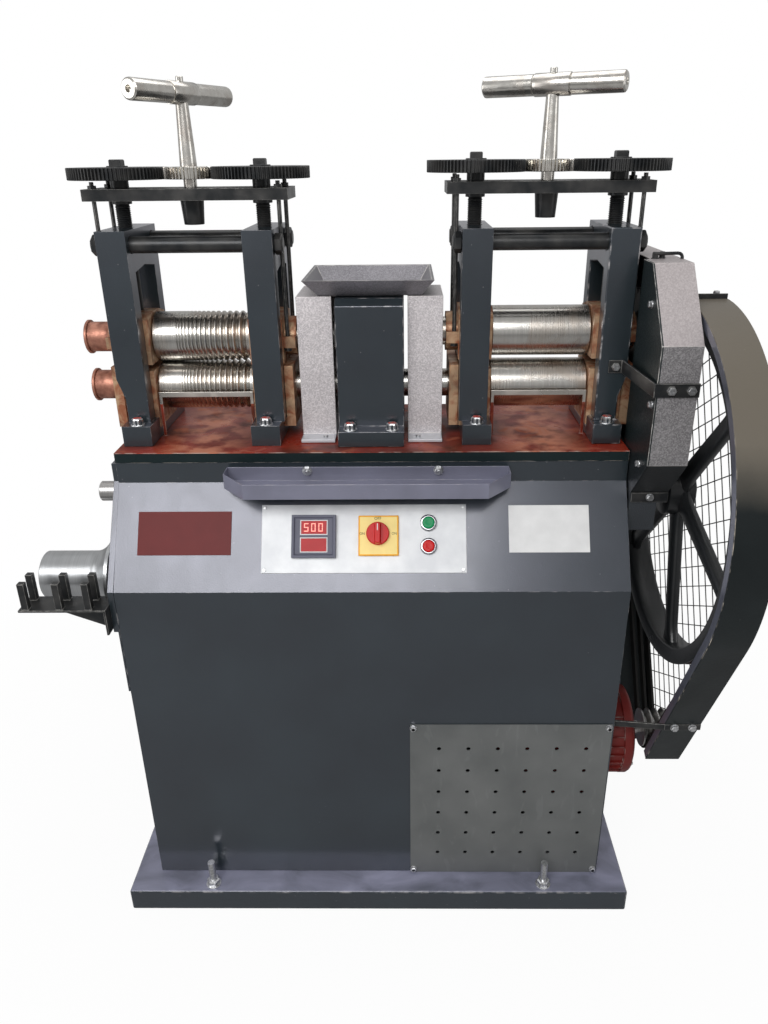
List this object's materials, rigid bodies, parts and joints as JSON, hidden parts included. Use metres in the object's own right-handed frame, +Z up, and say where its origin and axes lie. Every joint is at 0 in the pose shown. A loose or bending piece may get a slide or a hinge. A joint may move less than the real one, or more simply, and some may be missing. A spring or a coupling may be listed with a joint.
{
  "type": "jewellers rolling mill",
  "caption": "Motor driven jewellers rolling mill on a cabinet, with grooved wire rolls, plain sheet rolls, T handle screw-downs, a guarded flywheel and a wire drum.",
  "frame": {"origin": "middle of the plinth's underside, on the floor", "axes": "+Z up, +X along the rolls towards the flywheel, +Y away from the operator"},
  "size_m": [1.1933, 0.7535, 1.5247],
  "materials": {
    "dark_enamel": "gloss enamel",
    "grey_hammertone": "hammered grey paint",
    "oiled_red_primer": "red primer under oil",
    "ground_steel": "ground and polished",
    "dark_steel": "oiled dark steel",
    "bearing_bronze": "oily bronze",
    "black_iron": "black gloss paint on iron",
    "guard_paint": "dark gloss paint",
    "satin_grey": "satin grey",
    "motor_red": "oxide red paint",
    "belt_rubber": "matt rubber",
    "satin_aluminium": "turned, satin",
    "white_plate": "satin white",
    "black_plastic": "satin black",
    "yellow_plate": "satin yellow",
    "red_plastic": "gloss red",
    "green_plastic": "gloss green"
  },
  "bodies": {
    "stand": {"base_plinth": "dark_enamel", "cabinet_shell": "dark_enamel", "left_side_plate": "dark_enamel", "control_plate": "white_plate", "digital_meter": "black_plastic", "switch_plate": "yellow_plate", "vent_panel": "satin_grey", "bed_plate": "oiled_red_primer", "front_tray": "dark_enamel", "pinion_stand": "grey_hammertone", "oil_hopper": "grey_hammertone", "left_gear_cover": "grey_hammertone", "right_gear_cover": "grey_hammertone", "gear_guard": "grey_hammertone", "guard_strap": "black_iron", "belt_guard_band": "guard_paint", "belt_guard_mesh": "guard_paint", "drive_motor": "motor_red", "motor_bracket": "black_iron", "v_belts": "belt_rubber", "peg_rack": "black_iron", "left_shaft_bearing": "dark_enamel", "right_shaft_bearing": "dark_enamel", "drum_belt": "belt_rubber", "left_outer_frame": "dark_enamel", "left_outer_lower_bearing": "bearing_bronze", "left_inner_frame": "dark_enamel", "left_inner_lower_bearing": "bearing_bronze", "left_front_tie_bar": "dark_steel", "left_rear_tie_bar": "dark_steel", "right_outer_frame": "dark_enamel", "right_outer_lower_bearing": "bearing_bronze", "right_inner_frame": "dark_enamel", "right_inner_lower_bearing": "bearing_bronze", "right_front_tie_bar": "dark_steel", "right_rear_tie_bar": "dark_steel"},
    "drive_shaft": {"main_shaft": "dark_steel", "flywheel": "black_iron"},
    "lower_rolls": {"left_lower_roll": "ground_steel", "right_lower_roll": "ground_steel", "bull_gear": "dark_steel"},
    "left_lift": {"left_cross_plate": "dark_steel", "left_outer_upper_bearing": "bearing_bronze", "left_inner_upper_bearing": "bearing_bronze"},
    "left_handle_body": {"left_handle": "ground_steel"},
    "left_upper_roll_body": {"left_upper_roll": "ground_steel"},
    "left_outer_screw_body": {"left_outer_screw": "dark_steel"},
    "left_inner_screw_body": {"left_inner_screw": "dark_steel"},
    "right_lift": {"right_cross_plate": "dark_steel", "right_outer_upper_bearing": "bearing_bronze", "right_inner_upper_bearing": "bearing_bronze"},
    "right_handle_body": {"right_handle": "ground_steel"},
    "right_upper_roll_body": {"right_upper_roll": "ground_steel"},
    "right_outer_screw_body": {"right_outer_screw": "dark_steel"},
    "right_inner_screw_body": {"right_inner_screw": "dark_steel"},
    "motor_pulley_body": {"motor_pulley": "black_iron"},
    "wire_drum_body": {"wire_drum": "satin_aluminium"},
    "switch_knob_body": {"switch_knob": "red_plastic"},
    "start_button_body": {"start_button": "green_plastic"},
    "stop_button_body": {"stop_button": "red_plastic"}
  },
  "joints": [
    {"name": "main_shaft_spin", "type": "hinge", "parent": "stand", "child": "drive_shaft", "pos_m": [0, -0.118, 0.84809], "axis": [1, 0, 0], "continuous": true},
    {"name": "lower_rolls_spin", "type": "hinge", "parent": "stand", "child": "lower_rolls", "pos_m": [0, 0, 1.0145], "axis": [1, 0, 0], "continuous": true},
    {"name": "left_lift_slide", "type": "slide", "parent": "stand", "child": "left_lift", "axis": [0, 0, 1], "range_m": [-0.00024, 0.01]},
    {"name": "left_handle_turn", "type": "hinge", "parent": "left_lift", "child": "left_handle_body", "pos_m": [-0.3, 0, 1.366], "axis": [0, 0, 1], "range_deg": [-2400, 57]},
    {"name": "left_outer_screw_turn", "type": "hinge", "parent": "left_lift", "child": "left_outer_screw_body", "pos_m": [-0.42, 0, 1.366], "axis": [0, 0, 1], "range_deg": [-29, 1200.5]},
    {"name": "left_inner_screw_turn", "type": "hinge", "parent": "left_lift", "child": "left_inner_screw_body", "pos_m": [-0.18, 0, 1.366], "axis": [0, 0, 1], "range_deg": [-29, 1200.5]},
    {"name": "left_upper_roll_spin", "type": "hinge", "parent": "left_lift", "child": "left_upper_roll_body", "pos_m": [-0.3, 0, 1.103], "axis": [1, 0, 0], "continuous": true},
    {"name": "right_lift_slide", "type": "slide", "parent": "stand", "child": "right_lift", "axis": [0, 0, 1], "range_m": [-0.0065, 0.0055]},
    {"name": "right_handle_turn", "type": "hinge", "parent": "right_lift", "child": "right_handle_body", "pos_m": [0.3, 0, 1.3725], "axis": [0, 0, 1], "range_deg": [-1320, 1560]},
    {"name": "right_outer_screw_turn", "type": "hinge", "parent": "right_lift", "child": "right_outer_screw_body", "pos_m": [0.42, 0, 1.3725], "axis": [0, 0, 1], "range_deg": [-780.5, 660.5]},
    {"name": "right_inner_screw_turn", "type": "hinge", "parent": "right_lift", "child": "right_inner_screw_body", "pos_m": [0.18, 0, 1.3725], "axis": [0, 0, 1], "range_deg": [-780.5, 660.5]},
    {"name": "right_upper_roll_spin", "type": "hinge", "parent": "right_lift", "child": "right_upper_roll_body", "pos_m": [0.3, 0, 1.1095], "axis": [1, 0, 0], "continuous": true},
    {"name": "motor_pulley_spin", "type": "hinge", "parent": "stand", "child": "motor_pulley_body", "pos_m": [0.53, -0.15, 0.34], "axis": [1, 0, 0], "continuous": true},
    {"name": "wire_drum_spin", "type": "hinge", "parent": "stand", "child": "wire_drum_body", "pos_m": [-0.4719, -0.143, 0.69], "axis": [1, 0, 0], "continuous": true},
    {"name": "switch_knob_turn", "type": "hinge", "parent": "stand", "child": "switch_knob_body", "pos_m": [0.0118, -0.19391, 0.79529], "axis": [0, -0.8445, 0.5355], "range_deg": [-90, 90]},
    {"name": "start_button_push", "type": "slide", "parent": "stand", "child": "start_button_body", "axis": [0, 0.8445, -0.5355], "range_m": [0, 0.003], "stiffness_N_per_m": 300, "springref_m": -0.001},
    {"name": "stop_button_push", "type": "slide", "parent": "stand", "child": "stop_button_body", "axis": [0, 0.8445, -0.5355], "range_m": [0, 0.003], "stiffness_N_per_m": 300, "springref_m": -0.001}
  ],
  "couplings": [
    {"joint": "lower_rolls_spin", "follows": "main_shaft_spin", "ratio": -0.25926},
    {"joint": "left_lift_slide", "follows": "left_handle_turn", "m_per_rad": -0.00023873},
    {"joint": "left_outer_screw_turn", "follows": "left_handle_turn", "ratio": -0.5},
    {"joint": "left_inner_screw_turn", "follows": "left_handle_turn", "ratio": -0.5},
    {"joint": "left_upper_roll_spin", "follows": "main_shaft_spin", "ratio": 0.25926},
    {"joint": "right_lift_slide", "follows": "right_handle_turn", "m_per_rad": -0.00023873},
    {"joint": "right_outer_screw_turn", "follows": "right_handle_turn", "ratio": -0.5},
    {"joint": "right_inner_screw_turn", "follows": "right_handle_turn", "ratio": -0.5},
    {"joint": "right_upper_roll_spin", "follows": "main_shaft_spin", "ratio": 0.25926},
    {"joint": "motor_pulley_spin", "follows": "main_shaft_spin", "ratio": 9.1642},
    {"joint": "wire_drum_spin", "follows": "main_shaft_spin", "ratio": 0.35604}
  ]
}
